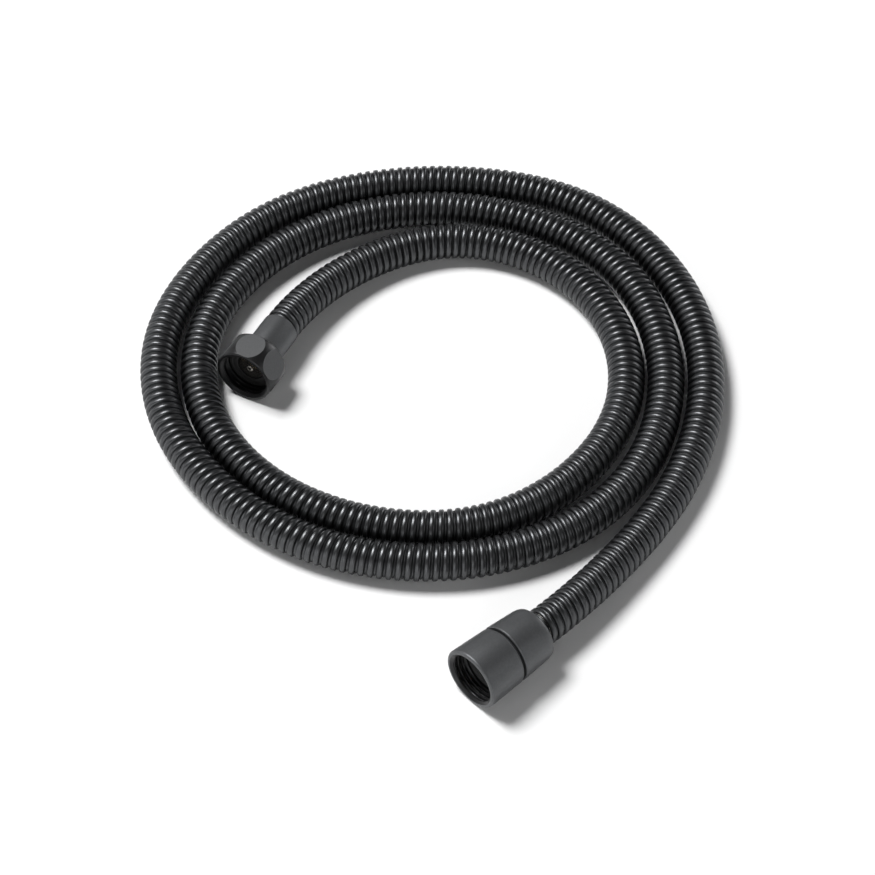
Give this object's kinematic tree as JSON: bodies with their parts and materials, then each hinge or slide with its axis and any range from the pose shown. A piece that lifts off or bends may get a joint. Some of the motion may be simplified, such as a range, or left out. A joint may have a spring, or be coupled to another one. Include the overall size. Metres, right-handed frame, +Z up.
{
  "type": "shower hose",
  "caption": "Flexible black strip-wound metal shower hose lying in a flat spiral, with a round swivelling handset coupling on one end and a crowned hex supply nut on the other.",
  "frame": {"origin": "middle of the footprint of the coiled hose, on the surface it lies on", "axes": "+Z up from the surface the hose lies on; the spiral lies in the XY plane; the handset coupling is at +X and opens towards -Y"},
  "size_m": [0.2365, 0.2164, 0.0235],
  "materials": {
    "black_casing": "satin to gloss black plating over wound stainless strip",
    "black_metal": "satin black, very dark grey where lit",
    "hose_rubber": "matte",
    "seal_rubber": "matte, moulded",
    "slip_plastic": "smooth, low friction",
    "brass": "turned",
    "bare_steel": "bare stainless"
  },
  "bodies": {
    "hose": {"hose_casing": "black_casing", "inner_tube": "hose_rubber", "handset_sleeve": "black_metal", "handset_insert": "brass", "handset_claw_ring": "bare_steel", "handset_crimp_band": "bare_steel", "supply_ferrule": "black_metal", "supply_nipple": "brass"},
    "swivel": {"swivel_spindle": "brass", "spindle_clip": "bare_steel", "o_ring_front": "seal_rubber", "o_ring_rear": "seal_rubber", "swivel_thrust_ring": "slip_plastic"},
    "handset_coupling": {"handset_nut": "black_metal", "handset_slip_ring": "slip_plastic", "handset_washer": "seal_rubber"},
    "supply_coupling": {"hex_nut": "black_metal", "supply_slip_ring": "slip_plastic", "supply_washer": "seal_rubber", "supply_filter": "bare_steel"}
  },
  "joints": [
    {"name": "swivel_spin", "type": "hinge", "parent": "hose", "child": "swivel", "pos_m": [0.10685, -0.07539, 0.01094], "axis": [0.0227, 0.9989, -0.0401], "continuous": true},
    {"name": "handset_nut_spin", "type": "hinge", "parent": "swivel", "child": "handset_coupling", "pos_m": [0.10653, -0.08937, 0.0115], "axis": [0.0227, 0.9989, -0.0401], "continuous": true},
    {"name": "hex_nut_spin", "type": "hinge", "parent": "hose", "child": "supply_coupling", "pos_m": [-0.05431, -0.05418, 0.01145], "axis": [-0.3253, 0.9448, -0.0384], "continuous": true}
  ]
}
